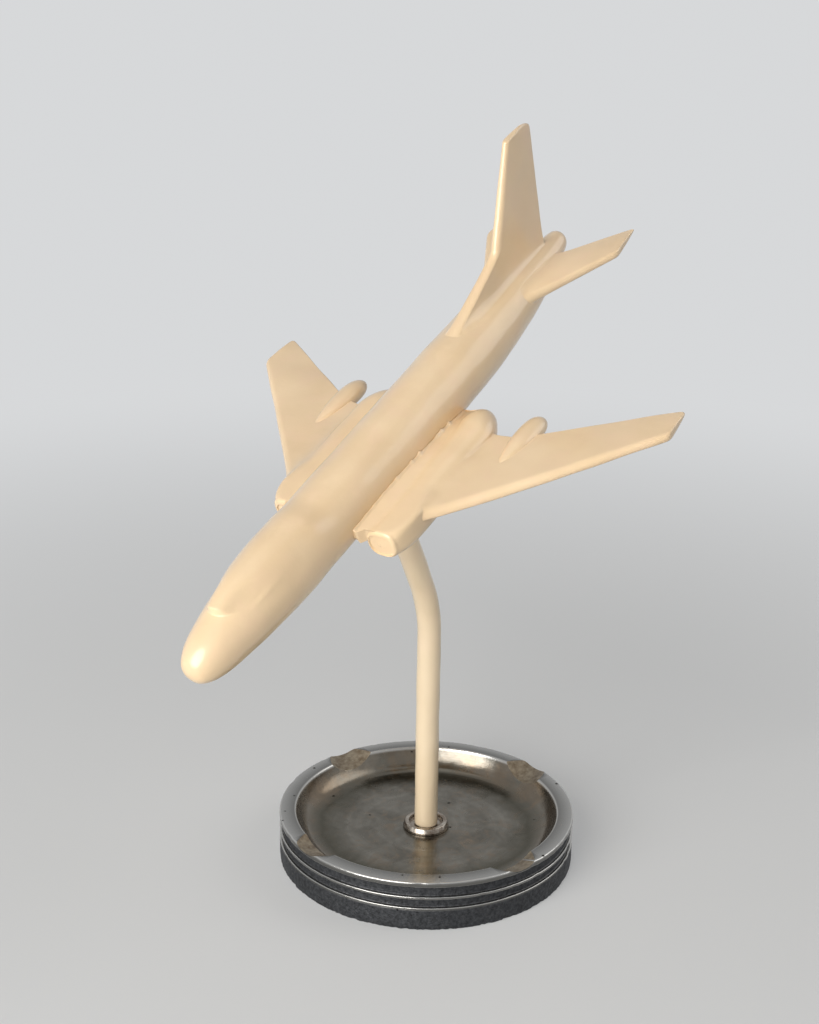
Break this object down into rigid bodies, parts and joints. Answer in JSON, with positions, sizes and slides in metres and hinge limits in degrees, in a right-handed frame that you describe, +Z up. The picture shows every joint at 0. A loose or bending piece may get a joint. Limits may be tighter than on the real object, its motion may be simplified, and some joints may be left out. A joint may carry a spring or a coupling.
{
  "type": "model airliner",
  "caption": "Enamelled swept-wing jet airliner in a dive on a bent rod that turns in a round metal ashtray base with ring grooves and rests.",
  "frame": {"origin": "under the middle of the tray, on the rod's axis, at the height of the table", "axes": "+Z up along the rod's foot, +X the way the airliner's nose points, +Y to the airliner's port side"},
  "size_m": [0.1928, 0.1509, 0.2419],
  "materials": {
    "enamel": "thick cream gloss enamel, slightly uneven, a little yellowed",
    "worn_steel": "turned, worn and stained, with brown patina and dark pits",
    "bright_steel": "turned, a little dulled",
    "brass": "turned, unpolished"
  },
  "bodies": {
    "tray": {"piston_tray": "worn_steel", "rod_collar": "bright_steel"},
    "airliner": {"stand_rod": "enamel", "foot_washer": "bright_steel", "foot_nut": "bright_steel", "belly_insert": "brass", "nose_section": "enamel", "centre_section": "enamel", "tail_section": "enamel", "nose_dowel": "bright_steel", "tail_dowel": "bright_steel", "wing_spar": "bright_steel", "root_pins": "bright_steel", "port_nacelle": "enamel", "starboard_nacelle": "enamel", "port_root_strip": "enamel", "starboard_root_strip": "enamel", "port_wing": "enamel", "starboard_wing": "enamel", "port_gear_pod": "enamel", "starboard_gear_pod": "enamel", "fin": "enamel", "fin_pins": "bright_steel", "port_tailplane": "enamel", "starboard_tailplane": "enamel", "tailplane_pin": "bright_steel"}
  },
  "joints": [
    {"name": "stand_swivel", "type": "hinge", "parent": "tray", "child": "airliner", "pos_m": [0, 0, 0.0105], "axis": [0, 0, 1], "continuous": true}
  ]
}
